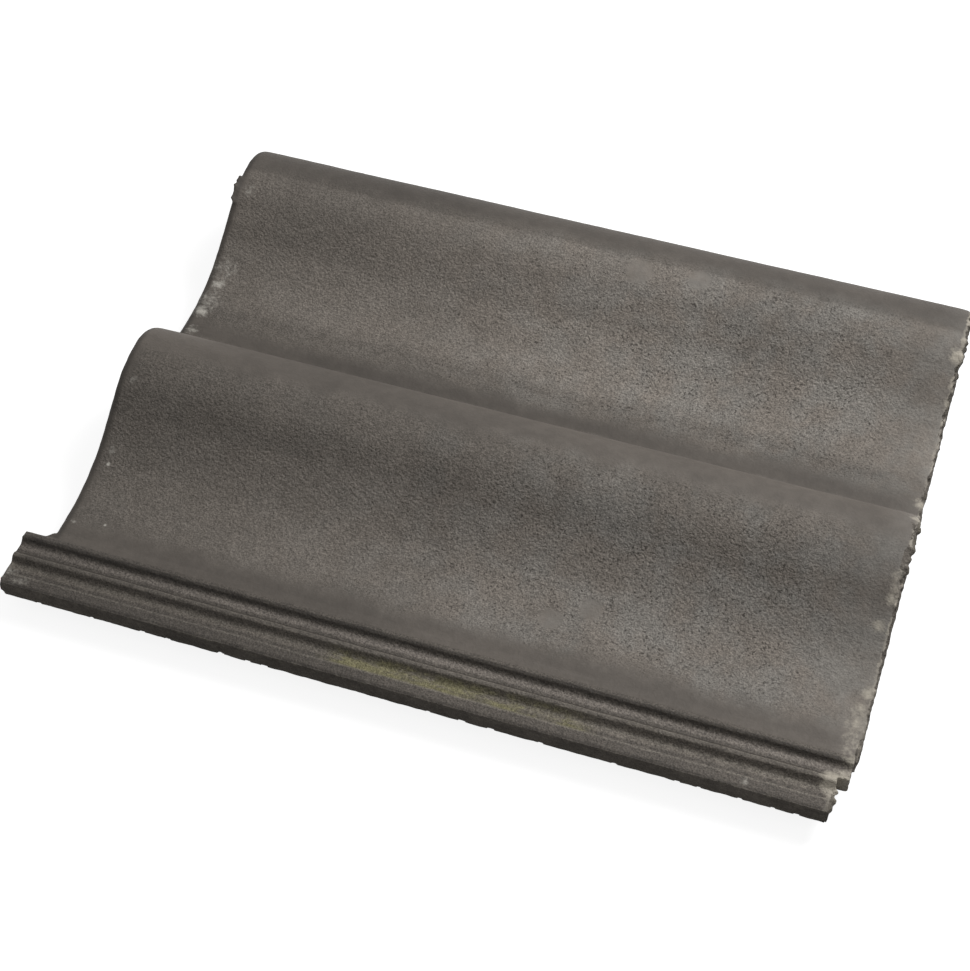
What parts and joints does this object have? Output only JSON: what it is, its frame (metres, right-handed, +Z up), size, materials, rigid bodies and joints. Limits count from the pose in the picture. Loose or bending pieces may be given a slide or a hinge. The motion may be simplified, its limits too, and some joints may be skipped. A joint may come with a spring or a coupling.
{
  "type": "concrete roof tile",
  "caption": "Cast concrete roof tile with a waved face, a ribbed interlocking underlap along one side, a cover roll along the other, and hanging nibs underneath.",
  "frame": {"origin": "centre of the tile's footprint, on the level surface that the tile lies on", "axes": "+X down the slope from the head to the foot, +Y from the ribbed underlap to the cover roll, +Z up, out of the weathered face"},
  "size_m": [0.42, 0.33, 0.058],
  "materials": {
    "concrete": "weathered grey-brown sanded concrete, matte, with worn pale edges"
  },
  "bodies": {
    "root": {"roof_tile": "concrete"}
  },
  "joints": []
}
